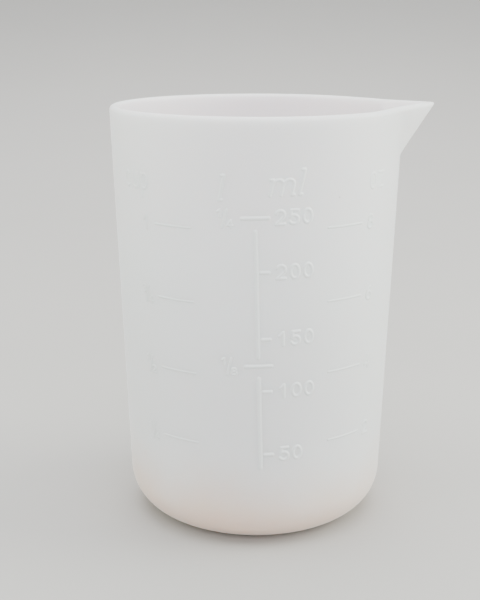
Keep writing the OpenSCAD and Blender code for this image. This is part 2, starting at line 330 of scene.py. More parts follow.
@dataclass
class CupBody:
    """Builds the seamless skin of floor, heel, wall, rim and lip.

    Attributes:
        shape: Radius and height functions of the moulding.
        columns: Number of vertices round the cup.
        samples: Number of azimuths at which the columns' density is summed up.
        lip_crowding: How much closer the columns stand at the lip.
        lip_crowd_width: Half the width of the bell over which they do.
        wall_rows: Number of rows up each face of the wall.
        wall_bunching: Power by which those rows crowd towards the rim.
        heel_rows: Number of rows round each bend at the foot.
        floor_rows: Number of rows from the middle to a bend.
        rim_rows: Number of rows round each edge of the rim.
        name: Name of the piece.
    """

    shape: WallShape
    columns: int = 280
    samples: int = 4001
    lip_crowding: float = 3.2
    lip_crowd_width: float = math.radians(34.0)
    wall_rows: int = 64
    wall_bunching: float = 1.35
    heel_rows: int = 18
    floor_rows: int = 8
    rim_rows: int = 6
    name: str = "cup_body"

    def azimuths(self) -> Points:
        """Returns the columns' azimuths, evenly spread in a density with a bell at the lip."""
        fine = np.linspace(-math.pi, math.pi, self.samples)
        density = 1.0 + self.lip_crowding * np.exp(-((fine / self.lip_crowd_width) ** 2))
        total = np.concatenate([[0.0], np.cumsum(0.5 * (density[1:] + density[:-1]))])
        wanted = np.arange(self.columns) / self.columns * total[-1]
        return np.interp(wanted, total, fine)

    def heel_arc(self, radius: float, low_z: float, side: Side) -> tuple[Points, Points]:
        """Returns the radii and heights of a quarter bend from level to the wall's slope.

        Args:
            radius: Radius of the bend.
            low_z: Height of its level end.
            side: Which face of the wall it meets.

        Returns:
            Radii and heights, from the level end up.
        """
        s = self.shape
        centre_z = low_z + radius
        wall = s.cone(centre_z) - (s.wall * s.slant if side is Side.INSIDE else 0.0)
        turn = np.linspace(-math.pi / 2, -math.atan(s.draft), self.heel_rows)
        return wall - radius * s.slant + radius * np.cos(turn), centre_z + radius * np.sin(turn)

    def wall_rows_at(self, azimuth: Points, low_z: float, side: Side) -> tuple[Points, Points]:
        """Works out one wall face from low_z to just under the rim's rounding.

        Args:
            azimuth: Azimuth of each column.
            low_z: Height of the bend's end, which the first row lies above.
            side: Which face of the wall.

        Returns:
            Radii and heights of its rows, from low to high.
        """
        s = self.shape
        even = (np.arange(1, self.wall_rows + 1) / self.wall_rows)[:, None]
        share = 1.0 - (1.0 - even) ** self.wall_bunching
        top = (self.rim_top(azimuth) - self.rim_edge(azimuth))[None]
        z = low_z + (top - low_z) * share
        return s.radius(azimuth[None], z, side), z

    def rim_top(self, azimuth: Points) -> Points:
        """Returns the height of the rim at each azimuth."""
        x = self.rim_reach(azimuth) * np.cos(azimuth)
        return self.shape.rim_z + self.shape.lip.rim_lift(x)

    def rim_reach(self, azimuth: Points) -> Points:
        """Returns the outer radius at the level rim's height at each azimuth."""
        return self.shape.radius(azimuth, np.full_like(azimuth, self.shape.rim_z))

    def rim_edge(self, azimuth: Points) -> Points:
        """Works out the radius of the rim's rounded edges, which shrinks towards the tip.

        Args:
            azimuth: Azimuth of each column.

        Returns:
            The radius at each azimuth, in proportion to the lip's reach past the rim.
        """
        s = self.shape
        rim = s.cone(s.rim_z)
        share = np.clip((self.rim_reach(azimuth) - rim) / (s.lip.tip_x - rim), 0.0, 1.0)
        return s.rim_round + share * (s.tip_round - s.rim_round)

    def rim_rows_at(self, azimuth: Points) -> tuple[Points, Points]:
        """Works out the rim: a quarter circle up, the flat top and a quarter circle down.

        Args:
            azimuth: Azimuth of each column.

        Returns:
            Radii and heights of its rows, from outside to inside.
        """
        s = self.shape
        top, edge = self.rim_top(azimuth), self.rim_edge(azimuth)
        outer, inner = (s.radius(azimuth, top - edge, side) for side in Side)
        turn = np.linspace(0.0, math.pi / 2, self.rim_rows + 1)[1:, None]
        up_r = outer - edge * (1.0 - np.cos(turn))
        up_z = top - edge * (1.0 - np.sin(turn))
        down_r = inner + edge * (1.0 - np.cos(turn[::-1]))
        return np.concatenate([up_r, down_r]), np.concatenate([up_z, up_z[::-1]])

    def profile(self, azimuth: Points) -> tuple[Points, Points, Points]:
        """Returns radius, height and insideness of every row from the underside to the floor.

        Args:
            azimuth: Azimuth of each column.

        Returns:
            Radius and height as rows by columns, and each row's insideness, from 0 outside
            to 1 inside.
        """
        s = self.shape
        heel_r, heel_z = self.heel_arc(s.heel, 0.0, Side.OUTSIDE)
        bend_r, bend_z = self.heel_arc(s.inner_heel, s.floor, Side.INSIDE)
        reach = (np.arange(1, self.floor_rows) / self.floor_rows)[:, None]
        down_r, down_z = self.wall_rows_at(azimuth, bend_z[-1], Side.INSIDE)
        bands = [
            (reach * heel_r[0], np.zeros(1)),
            (heel_r[:, None], heel_z[:, None]),
            self.wall_rows_at(azimuth, heel_z[-1], Side.OUTSIDE),
            self.rim_rows_at(azimuth),
            (down_r[::-1], down_z[::-1]),
            (bend_r[::-1, None], bend_z[::-1, None]),
            (reach[::-1] * bend_r[0], np.full(1, s.floor)),
        ]
        counts = [len(r) for r, _ in bands]
        filled = [np.broadcast_arrays(r, z, azimuth)[:2] for r, z in bands]
        radius, height = (np.concatenate(part) for part in zip(*filled))
        rim_start = sum(counts[:3])
        rim_ends = [rim_start, rim_start + counts[3] - 1]
        return radius, height, np.interp(np.arange(len(radius)), rim_ends, [0.0, 1.0])

    def build(self) -> bpy.types.Object:
        """Joins the rows into one closed skin with a pole in the underside and the floor.

        Returns:
            The cup body, with its insideness as a point attribute.
        """
        azimuth = self.azimuths()
        radius, height, inside = self.profile(azimuth)
        rows, columns = radius.shape
        places = np.stack([radius * np.cos(azimuth), radius * np.sin(azimuth), height], axis=-1)
        poles = np.array([[0.0, 0.0, 0.0], [0.0, 0.0, self.shape.floor]])
        vertices = np.concatenate([places.reshape(-1, 3), poles])
        under, floor = rows * columns, rows * columns + 1
        first = np.arange(columns)
        last = first + (rows - 1) * columns
        under_fan = np.stack([np.roll(first, -1), first, np.full(columns, under)], axis=-1)
        floor_fan = np.stack([last, np.roll(last, -1), np.full(columns, floor)], axis=-1)
        faces = [grid_quads(rows, columns, True), under_fan, floor_fan]
        piece = new_piece(self.name, vertices, faces)
        values = np.concatenate([np.repeat(inside, columns), [0.0, 1.0]]).astype(np.float32)
        piece.data.attributes.new("inside", "FLOAT", "POINT").data.foreach_set("value", values)
        return piece


# ---------------------------------------------------------------- raised marks


def arc(centre: tuple[float, float], radii: tuple[float, float], turn: tuple[float, float],
        steps: int = 14) -> Points:
    """Returns points along an oval arc: the centre plus the radii times cosine and sine.

    Args:
        centre: Middle of the oval.
        radii: Half its width and half its height.
        turn: First and last angle, in degrees.
        steps: Number of chords.

    Returns:
        Array of points.
    """
    a = np.radians(np.linspace(turn[0], turn[1], steps + 1))
    return np.stack([centre[0] + radii[0] * np.cos(a), centre[1] + radii[1] * np.sin(a)], axis=-1)


def line(*points: tuple[float, float]) -> Points:
    """Returns the points of a bent line as an array."""
    return np.array(points, dtype=float)


@dataclass(frozen=True)
class Lettering:
    """Centre lines of the characters, in metres, and how wide their strokes are.

    Numerals and fractions are centred on the origin; letters stand on it.
    """

    stroke: float = 0.75 * MM
    digit_w: float = 2.7 * MM
    digit_h: float = 3.8 * MM
    gap: float = 0.45 * MM
    fraction_w: float = 4.0 * MM
    fraction_h: float = 4.6 * MM
    small_w: float = 1.7 * MM
    small_h: float = 2.2 * MM
    small_stroke: float = 0.55 * MM
    letter_h: float = 6.2 * MM
    x_height: float = 4.2 * MM
    m_w: float = 5.6 * MM
    narrow_w: float = 2.9 * MM
    serif: float = 0.55 * MM
    slant: float = math.tan(math.radians(14.0))

    def digit(self, character: str, figure: Figure = Figure.FULL) -> list[Stroke]:
        """Returns a numeral's strokes, drawn in a unit box and then sized and centred.

        Args:
            character: The numeral.
            figure: Full size, or the small size used in fractions.

        Returns:
            Its strokes, each a centre line and a width.
        """
        unit: dict[str, list[Points]] = {
            "0": [arc((0.5, 0.5), (0.5, 0.5), (0, 360), 26)],
            "1": [line((0.6, 0), (0.6, 1)), line((0.6, 1), (0.15, 0.74))],
            "2": [
                np.concatenate([arc((0.5, 0.7), (0.48, 0.3), (165, -38)), line((0, 0), (1, 0))])
            ],
            "3": [
                arc((0.45, 0.76), (0.42, 0.24), (150, -90)),
                arc((0.45, 0.26), (0.5, 0.26), (90, -150)),
            ],
            "4": [line((0.75, 0), (0.75, 1)), line((0.75, 1), (0, 0.3), (1, 0.3))],
            "5": [
                line((0.95, 1), (0.15, 1), (0.08, 0.52)),
                arc((0.45, 0.32), (0.53, 0.32), (140, -150)),
            ],
            "6": [
                arc((0.5, 0.3), (0.5, 0.3), (0, 360), 22),
                arc((1, 0.3), (1, 0.7), (180, 105)),
            ],
            "8": [
                arc((0.5, 0.76), (0.4, 0.24), (0, 360), 20),
                arc((0.5, 0.26), (0.5, 0.26), (0, 360), 22),
            ],
        }
        small = figure is Figure.SMALL
        width = self.small_stroke if small else self.stroke
        box = (self.small_w, self.small_h) if small else (self.digit_w, self.digit_h)
        size = np.array(box) - width
        return [((path - 0.5) * size, width) for path in unit[character]]

    def number(self, value: str) -> list[tuple[float, list[Stroke]]]:
        """Returns each numeral of a number with its place, from the number's left edge."""
        pitch = self.digit_w + self.gap
        return [(self.digit_w / 2 + i * pitch, self.digit(c)) for i, c in enumerate(value)]

    def fraction(self, value: str) -> list[Stroke]:
        """Returns a fraction's strokes: a figure up left, a slanting bar, a figure down right.

        Args:
            value: Such as "1/4".

        Returns:
            All strokes, centred on the origin.
        """
        reach = np.array([self.fraction_w - self.small_w, self.small_h - self.fraction_h]) / 2
        upper = [(path - reach, w) for path, w in self.digit(value[0], Figure.SMALL)]
        lower = [(path + reach, w) for path, w in self.digit(value[2], Figure.SMALL)]
        half = np.array([reach[0] / 2, (self.fraction_h - self.small_stroke) / 2])
        return upper + [(np.stack([-half, half]), self.small_stroke)] + lower

    def letter(self, character: str) -> list[Stroke]:
        """Returns a unit letter's strokes; l and m lean to the right and have serifs.

        Args:
            character: One of l, m, o, z, c, u and p.

        Returns:
            Its strokes, with the foot on the base line.
        """
        foot, top = self.stroke / 2, self.x_height - self.stroke / 2
        tall, middle = self.letter_h - foot, self.x_height / 2
        half, leg = self.narrow_w / 2 - foot, self.m_w / 2 - foot
        radii = (half, middle - foot)
        bow = leg / 2
        drawn: dict[str, list[Points]] = {
            "l": [line((-self.serif, tall), (0, tall), (0, foot), (self.serif, foot))],
            "m": [
                line((-leg - self.serif, top), (-leg, top), (-leg, foot)),
                np.concatenate([arc((-bow, top - bow), (bow, bow), (160, 0)), line((0, foot))]),
                np.concatenate([
                    arc((bow, top - bow), (bow, bow), (160, 0)),
                    line((leg, foot), (leg + self.serif, foot)),
                ]),
            ],
            "o": [arc((0, middle), radii, (0, 360), 26)],
            "z": [line((-half, top), (half, top), (-half, foot), (half, foot))],
            "c": [arc((0, middle), radii, (50, 310), 18)],
            "u": [
                np.concatenate([
                    line((-half, top)), arc((0, foot + half), (half, half), (180, 360))
                ]),
                line((half, top), (half, foot)),
            ],
            "p": [
                arc((0, middle), radii, (0, 360), 26),
                line((-half, top), (-half, foot - self.letter_h + self.x_height)),
            ],
        }
        lean = np.array([[1.0, 0.0], [self.slant if character in "lm" else 0.0, 1.0]])
        return [(path @ lean, self.stroke) for path in drawn[character]]


@dataclass
class RaisedSheet:
    """Collects marks for one piece and turns them into closed raised sheets on the wall.

    Attributes:
        name: Name of the piece.
        node: The CAD node that it stands for.
        shape: The wall that the marks lie on.
        relief: How far a mark stands out.
        sink: How far the sheet's edge lies below the wall.
        depth: Thickness of the sheet.
        pitch: Distance between grid points.
        shoulder: Shares of half a stroke's width between which the height falls.
        keep: Share of the sink below which a grid cell is dropped.
        vertices: Vertices of the marks added so far.
        quads: Their faces.
    """

    name: str
    node: str
    shape: WallShape
    relief: float
    sink: float = 0.05 * MM
    depth: float = 0.4 * MM
    pitch: float = 0.13 * MM
    shoulder: tuple[float, float] = (0.15, 1.5)
    keep: float = 0.99
    vertices: list[Points] = field(default_factory=list)
    quads: list[Points] = field(default_factory=list)

    def height(self, points: Points, strokes: list[Stroke]) -> Points:
        """Returns how far each point stands out from the wall.

        The distance to the nearest centre line, over half that stroke's width, is carried
        through a cubic step, so a mark has a soft top and runs out smoothly into the wall.

        Args:
            points: Flat places beside the mark.
            strokes: Centre lines and widths.

        Returns:
            Heights, between the sink below the wall and the relief above it.
        """
        nearest = np.full(points.shape[:-1], np.inf)
        for path, width in strokes:
            start, along = path[:-1], np.diff(path, axis=0)
            away = points[..., None, :] - start
            share = np.sum(away * along, axis=-1) / np.sum(along * along, axis=-1)
            foot = np.clip(share, 0.0, 1.0)[..., None] * along
            gap = np.sqrt(np.sum((away - foot) ** 2, axis=-1)).min(axis=-1)
            nearest = np.minimum(nearest, gap / (width / 2))
        fall = smooth_step(self.shoulder[0], self.shoulder[1], nearest)
        return self.relief * (1.0 - fall) - self.sink * fall

    def add(self, u: float, z: float, strokes: list[Stroke], turn: float = 0.0) -> None:
        """Adds one mark as a closed sheet.

        A grid covers the mark, cells with no part above the wall are dropped, and the rest is
        doubled at the sheet's depth and closed by a skirt along its open edges.

        Args:
            u: Distance along the wall to the right of the front.
            z: Height above the table.
            strokes: Centre lines and widths, about that place.
            turn: Angle by which the mark is turned to the left about that place.
        """
        cos, sin = math.cos(turn), math.sin(turn)
        strokes = [(path @ np.array([[cos, sin], [-sin, cos]]), width) for path, width in strokes]
        corners = np.concatenate([path for path, _ in strokes])
        edge = max(width for _, width in strokes)
        low, high = corners.min(axis=0) - edge, corners.max(axis=0) + edge
        counts = np.ceil((high - low) / self.pitch).astype(int) + 1
        x = np.linspace(low[0], high[0], counts[0])
        y = np.linspace(low[1], high[1], counts[1])
        flat = np.stack(np.meshgrid(x, y), axis=-1)
        out = self.height(flat, strokes)
        quads = grid_quads(len(y), len(x), False)
        quads = quads[(out.ravel()[quads] > -self.keep * self.sink).any(axis=1)]
        self.close(u, z, flat.reshape(-1, 2), out.ravel(), quads)

    def close(self, u: float, z: float, flat: Points, out: Points, quads: Points) -> None:
        """Lays the kept cells on the wall and closes them behind.

        Args:
            u: Distance along the wall of the mark's origin.
            z: Height of the mark's origin.
            flat: Places of the grid points about the origin.
            out: Heights of the grid points above the wall.
            quads: Cells to keep.
        """
        azimuth = FRONT + (u + flat[:, 0]) / self.shape.cone(z)
        top = self.shape.on_wall(azimuth, z + flat[:, 1], out)
        back = self.shape.on_wall(azimuth, z + flat[:, 1], np.full(len(flat), -self.depth))
        used, packed = np.unique(quads, return_inverse=True)
        packed = packed.reshape(quads.shape)
        count = len(used)
        edges = np.stack([packed, np.roll(packed, -1, axis=1)], axis=-1).reshape(-1, 2)
        forward = edges[:, 0] * count + edges[:, 1]
        backward = edges[:, 1] * count + edges[:, 0]
        rim = edges[~np.isin(forward, backward)]
        skirt = np.stack([rim[:, 1], rim[:, 0], rim[:, 0] + count, rim[:, 1] + count], axis=-1)
        shift = sum(len(v) for v in self.vertices)
        self.vertices.append(np.concatenate([top[used], back[used]]))
        self.quads.append(np.concatenate([packed, packed[:, ::-1] + count, skirt]) + shift)

    def build(self) -> bpy.types.Object:
        """Joins the marks into one piece.

        Returns:
            The piece.
        """
        return new_piece(self.name, np.concatenate(self.vertices), [np.concatenate(self.quads)])


@dataclass
class MouldedScales:
    """Lays out the three scales: millilitres in front, ounces and cups at the sides.

    The millilitre scale leans a little to the left, about a point in front below the rim.
    A drop is measured down from the rim, a margin or start out from the centre line.

    Attributes:
        shape: The wall that carries them.
        lettering: The characters.
        relief: How far the millilitre and litre marks stand out.
        side_relief: How far the ounce and cup marks do.
        lean: Angle of the centre line.
        stem_gap: Space between the upright line and a long tick.
        stem_tail: How far the line runs on below the lowest tick.
    """

    shape: WallShape
    lettering: Lettering = field(default_factory=Lettering)
    relief: float = 0.3 * MM
    side_relief: float = 0.15 * MM
    line_w: float = 0.9 * MM
    top_drop: float = 22.2 * MM
    low_z: float = 25.0 * MM
    lean: float = math.radians(1.5)
    pivot_drop: float = 28.0 * MM
    long_tick: float = 3.4 * MM
    short_tick: float = 3.2 * MM
    tick_gap: float = 0.15 * MM
    stem_gap: float = 2.1 * MM
    stem_tail: float = 3.4 * MM
    numeral_margin: float = 4.25 * MM
    fraction_margin: float = 4.8 * MM
    letters_drop: float = 11.4 * MM
    litre_drop: float = 12.2 * MM
    letters_margin: float = 2.9 * MM
    unit_gap: float = 1.4 * MM
    ounce_start: float = 16.8 * MM
    cup_start: float = 14.8 * MM
    side_length: float = 10.5 * MM
    side_w: float = 0.6 * MM
    side_low_z: float = 27.0 * MM
    side_top_drop: float = 25.0 * MM
    side_margin: float = 1.6 * MM

    LONG_MARKS = (("1/4", 1.0), ("1/8", 0.389))
    SHORT_MARKS = (0.78, 0.502, 0.278, 0.0)
    NUMBERS = (("250", 1.0), ("200", 0.78), ("150", 0.502), ("100", 0.278), ("50", 0.0))
    SIDE_MARKS = (("2", "1/4"), ("4", "1/2"), ("6", "3/4"), ("8", "1"))
    SIDE_NODES = ("ounce", "cup")

    def mark_z(self, share: float) -> float:
        """Returns the height of a mark by its share of the way from 50 to 250 ml."""
        return self.low_z + share * (self.shape.rim_z - self.top_drop - self.low_z)

    def side_z(self, index: int) -> float:
        """Returns the height of a side mark, counted from the lowest."""
        span = self.shape.rim_z - self.side_top_drop - self.side_low_z
        return self.side_low_z + index * span / (len(self.SIDE_MARKS) - 1)

    def centre_u(self, z: float) -> float:
        """Returns how far the leaning centre line is to the right of the front at height z."""
        return (self.shape.rim_z - self.pivot_drop - z) * math.tan(self.lean)

    def sheet(self, node: str, beside: bool = False) -> RaisedSheet:
        """Returns an empty sheet for a CAD node, with the lower relief if it's a side scale."""
        relief = self.side_relief if beside else self.relief
        return RaisedSheet(f"moulded_{node}", node, self.shape, relief)

    def beside(self, sheet: RaisedSheet, u: float, z: float, strokes: list[Stroke]) -> None:
        """Adds a mark at u beside the centre line, turned with it."""
        sheet.add(self.centre_u(z) + u, z + u * math.tan(self.lean), strokes, self.lean)

    def bar(self, start: float, end: float, width: float) -> list[Stroke]:
        """Returns a level line between two ends that are round, centred on the origin."""
        half = (end - start - width) / 2
        return [(line((-half, 0.0), (half, 0.0)), width)]

    def scale_line(self) -> RaisedSheet:
        """Draws the two leaning upright lines."""
        sheet = self.sheet("scale_line")
        middle = self.mark_z(self.LONG_MARKS[1][1])
        runs = (
            (middle + self.stem_gap, self.mark_z(1.0) - self.stem_gap - self.line_w),
            (self.low_z - self.stem_tail, middle - self.stem_gap - self.line_w),
        )
        for low, high in runs:
            half = (high - low) / 2
            path = line((0.0, -half), (0.0, half))
            self.beside(sheet, 0.0, low + half, [(path, self.line_w)])
        return sheet

    def millilitre_ticks(self) -> RaisedSheet:
        """Draws the long ticks across the line and the short ones to its right."""
        sheet = self.sheet("millilitre_ticks")
        start = self.line_w / 2 + self.tick_gap
        ends = [(-self.long_tick, self.long_tick, share) for _, share in self.LONG_MARKS]
        ends += [(start, self.short_tick, share) for share in self.SHORT_MARKS]
        for left, right, share in ends:
            strokes = self.bar(left, right, self.line_w)
            self.beside(sheet, (left + right) / 2, self.mark_z(share), strokes)
        return sheet

    def millilitre_numerals(self) -> RaisedSheet:
        """Draws the numbers to the right of the ticks."""
        sheet = self.sheet("millilitre_numerals")
        for value, share in self.NUMBERS:
            for place, strokes in self.lettering.number(value):
                self.beside(sheet, self.numeral_margin + place, self.mark_z(share), strokes)
        return sheet

    def litre_fractions(self) -> RaisedSheet:
        """Draws the fractions to the left of the long ticks."""
        sheet = self.sheet("litre_fractions")
        u = -self.fraction_margin - self.lettering.fraction_w / 2
        for value, share in self.LONG_MARKS:
            self.beside(sheet, u, self.mark_z(share), self.lettering.fraction(value))
        return sheet

    def unit_letters(self) -> RaisedSheet:
        """Draws the headings l, ml, oz and cup."""
        sheet = self.sheet("unit_letters")
        text = self.lettering
        foot = self.shape.rim_z - self.letters_drop - text.letter_h
        litre_foot = self.shape.rim_z - self.litre_drop - text.letter_h
        m_u = self.letters_margin + text.m_w / 2
        self.beside(sheet, m_u, foot, text.letter("m"))
        self.beside(sheet, m_u + text.m_w / 2 + self.unit_gap, foot, text.letter("l"))
        left = -self.fraction_margin - text.fraction_w + text.stroke
        self.beside(sheet, left, litre_foot, text.letter("l"))
        sheet.relief = self.side_relief
        pitch = text.narrow_w + text.gap
        side = self.side_length + self.side_margin
        words = (("oz", self.ounce_start + side), ("cup", -self.cup_start - side - 3 * pitch))
        for word, start in words:
            for i, character in enumerate(word):
                sheet.add(start + (i + 0.5) * pitch, foot, text.letter(character))
        return sheet

    def side_ticks(self, node: str, start: float) -> RaisedSheet:
        """Draws four level ticks to one side.

        Args:
            node: The CAD node that they stand for.
            start: Left end of the ticks, from the centre line.

        Returns:
            The sheet.
        """
        sheet = self.sheet(node, beside=True)
        strokes = self.bar(0.0, self.side_length, self.side_w)
        for index in range(len(self.SIDE_MARKS)):
            z = self.side_z(index)
            sheet.add(self.centre_u(z) + start + self.side_length / 2, z, strokes)
        return sheet

    def side_labels(self, node: str, start: float, column: int) -> RaisedSheet:
        """Draws the numerals and fractions at the outer ends of one side's ticks.

        Args:
            node: The CAD node that they stand for.
            start: Edge of the labels nearest the centre line; they run on outwards.
            column: Which value of each side mark is drawn.

        Returns:
            The sheet.
        """
        sheet, text = self.sheet(node, beside=True), self.lettering
        for index, values in enumerate(self.SIDE_MARKS):
            z, value = self.side_z(index), values[column]
            whole = len(value) == 1
            strokes = text.digit(value) if whole else text.fraction(value)
            width = text.digit_w if whole else text.fraction_w
            sheet.add(self.centre_u(z) + start + math.copysign(width / 2, start), z, strokes)
        return sheet

    def build(self) -> list[tuple[bpy.types.Object, str]]:
        """Builds every sheet.

        Returns:
            Each piece with the CAD node that it stands for.
        """
        reach = self.side_length + self.side_margin
        sheets = [
            self.scale_line(),
            self.millilitre_ticks(),
            self.millilitre_numerals(),
            self.litre_fractions(),
            self.unit_letters(),
            self.side_ticks("ounce_ticks", self.ounce_start),
            self.side_labels("ounce_numerals", self.ounce_start + reach, 0),
            self.side_ticks("cup_ticks", -self.cup_start - self.side_length),
            self.side_labels("cup_fractions", -self.cup_start - reach, 1),
        ]
        return [(sheet.build(), sheet.node) for sheet in sheets]


# ---------------------------------------------------------------- finishes


class NodeSketch:
    """Adds nodes to a tree from left to right and links them by socket name."""

    PITCH = 220

    def __init__(self, tree: bpy.types.NodeTree) -> None:
        """Keeps the tree.

        Args:
            tree: A material's or group's node tree.
        """
        self.tree = tree
        self.count = 0

    def add(self, kind: str, inputs: dict[str, object] | None = None,
            **settings: object) -> bpy.types.Node:
        """Adds a node, sets its properties and fills its inputs.

        Args:
            kind: The node's type name.
            inputs: What goes into each input, by its name: a socket or a plain value.
            settings: Property names and values.

        Returns:
            The node.
        """
        node = self.tree.nodes.new(kind)
        node.location = (self.PITCH * self.count, 0)
        self.count += 1
        for name, value in settings.items():
            setattr(node, name, value)
        self.fill(node, inputs or {})
        return node

    def fill(self, node: bpy.types.Node, inputs: dict[str, object]) -> None:
        """Puts a socket or a plain value into each named input."""
        for name, value in inputs.items():
            self.put(value, node.inputs[name])

    def put(self, value: object, target: bpy.types.NodeSocket) -> None:
        """Links a socket, or sets a plain value.

        Args:
            value: The socket or value.
            target: The input that it goes into.
        """
        if isinstance(value, bpy.types.NodeSocket):
            self.tree.links.new(value, target)
        else:
            target.default_value = value

    def math(self, operation: str, *values: object) -> bpy.types.NodeSocket:
        """Adds a Math node.

        Args:
            operation: What it does.
            values: Its inputs in order, as sockets or numbers.

        Returns:
            The result.
        """
        node = self.add("ShaderNodeMath", operation=operation)
        for socket, value in zip(node.inputs, values):
            self.put(value, socket)
        return node.outputs[0]

    def noise(self, place: bpy.types.NodeSocket, scale: object, detail: float = 3.0,
              roughness: float = 0.5) -> bpy.types.NodeSocket:
        """Adds a noise that lies between about 0.3 and 0.7.

        Args:
            place: Where it is read.
            scale: How many times it changes in a metre.
            detail: Number of finer layers.
            roughness: Strength of those layers.

        Returns:
            The noise.
        """
        node = self.add("ShaderNodeTexNoise", {
            "Vector": place, "Scale": scale, "Detail": detail, "Roughness": roughness,
        })
        return node.outputs["Fac"]

    def span(self, value: bpy.types.NodeSocket, low: tuple[float, float],
             high: tuple[float, float]) -> bpy.types.NodeSocket:
        """Carries a value from one range to another, and no further.

        Args:
            value: What is carried.
            low: Where the two ranges begin.
            high: Where they end.

        Returns:
            The result.
        """
        node = self.add("ShaderNodeMapRange", {
            "Value": value, "From Min": low[0], "From Max": high[0],
            "To Min": low[1], "To Max": high[1],
        }, clamp=True)
        return node.outputs["Result"]

    def mix(self, share: object, a: object, b: object) -> bpy.types.NodeSocket:
        """Returns the colour mixed from a to b by share."""
        node = self.add("ShaderNodeMix", {"Factor": share, "A": a, "B": b}, data_type="RGBA")
        return node.outputs["Result"]

    def surface(self, inputs: dict[str, object]) -> None:
        """Adds a Principled shader with the inputs and makes it the material's surface."""
        shader = self.add("ShaderNodeBsdfPrincipled", inputs)
        self.add("ShaderNodeOutputMaterial", {"Surface": shader.outputs["BSDF"]})


def start_material(name: str) -> tuple[bpy.types.Material, NodeSketch]:
    """Makes an empty material.

    Args:
        name: Name of the material.

    Returns:
        The material and a sketch of its tree.
    """
    material = bpy.data.materials.new(name)
    material.use_nodes = True
    material.node_tree.nodes.clear()
    return material, NodeSketch(material.node_tree)


class MouldedSkin:
    """The unevenness that all the silicone shares, as one node group made once.

    Its inputs are a place and how often each effect changes in a metre.

    Attributes:
        NOISES: Scale, detail and roughness of each noise whose scale is an input.
        WAVE: The same of the slow waves in the surface.
        WAVE_HEIGHT: Height of the waves over that of the grain.
        SPECK_SCALE: How many specks could lie in a metre.
        SPECK_EDGE: Shares of their spacing between which a speck fades out.
        LINT_SCALE: How often the places that have specks change.
        LINT_EDGE: Noise values between which the specks of a place come in.
        SPECK_HEIGHT: Depth of a speck over the height of the grain.
    """

    NOISES = {
        "Cloud": (35.0, 4.0, 0.55), "Smudge": (90.0, 5.0, 0.65), "Grain": (2600.0, 2.0, 0.5),
    }
    OUTPUTS = ("Cloud", "Smudge", "Speck", "Height")
    WAVE = (55.0, 1.0, 0.4)
    WAVE_HEIGHT = 6.0
    SPECK_SCALE = 160.0
    SPECK_EDGE = (0.03, 0.06)
    LINT_SCALE = 61.0
    LINT_EDGE = (0.60, 0.66)
    SPECK_HEIGHT = 2.0

    def build(self) -> bpy.types.NodeTree:
        """Makes cloudiness, handling marks, lint specks and the height of the fine surface.

        Returns:
            The group.
        """
        tree = bpy.data.node_groups.new("moulded_skin", "ShaderNodeTree")
        number, sockets = "NodeSocketFloat", tree.interface
        sockets.new_socket("Place", in_out="INPUT", socket_type="NodeSocketVector")
        scales = {label: noise[0] for label, noise in self.NOISES.items()}
        scales["Speck"] = self.SPECK_SCALE
        for label, value in scales.items():
            socket = sockets.new_socket(f"{label} Scale", in_out="INPUT", socket_type=number)
            socket.default_value = value
        for label in self.OUTPUTS:
            sockets.new_socket(label, in_out="OUTPUT", socket_type=number)
        sketch = NodeSketch(tree)
        given, out = sketch.add("NodeGroupInput").outputs, sketch.add("NodeGroupOutput")
        place = given["Place"]
        cloud, smudge, grain = (
            sketch.noise(place, given[f"{label} Scale"], *noise[1:])
            for label, noise in self.NOISES.items()
        )
        wave = sketch.noise(place, *self.WAVE)
        cells = {"Vector": place, "Scale": given["Speck Scale"]}
        away = sketch.add("ShaderNodeTexVoronoi", cells).outputs["Distance"]
        start, end = self.SPECK_EDGE
        near = sketch.span(away, (start, 1.0), (end, 0.0))
        start, end = self.LINT_EDGE
        rare = sketch.span(sketch.noise(place, self.LINT_SCALE, 0.0), (start, 0.0), (end, 1.0))
        speck = sketch.math("MULTIPLY", near, rare)
        hills = sketch.math("MULTIPLY_ADD", wave, self.WAVE_HEIGHT, grain)
        dips = sketch.math("MULTIPLY", speck, self.SPECK_HEIGHT)
        height = sketch.math("SUBTRACT", hills, dips)
        sketch.fill(out, {"Cloud": cloud, "Smudge": smudge, "Speck": speck, "Height": height})
        return tree


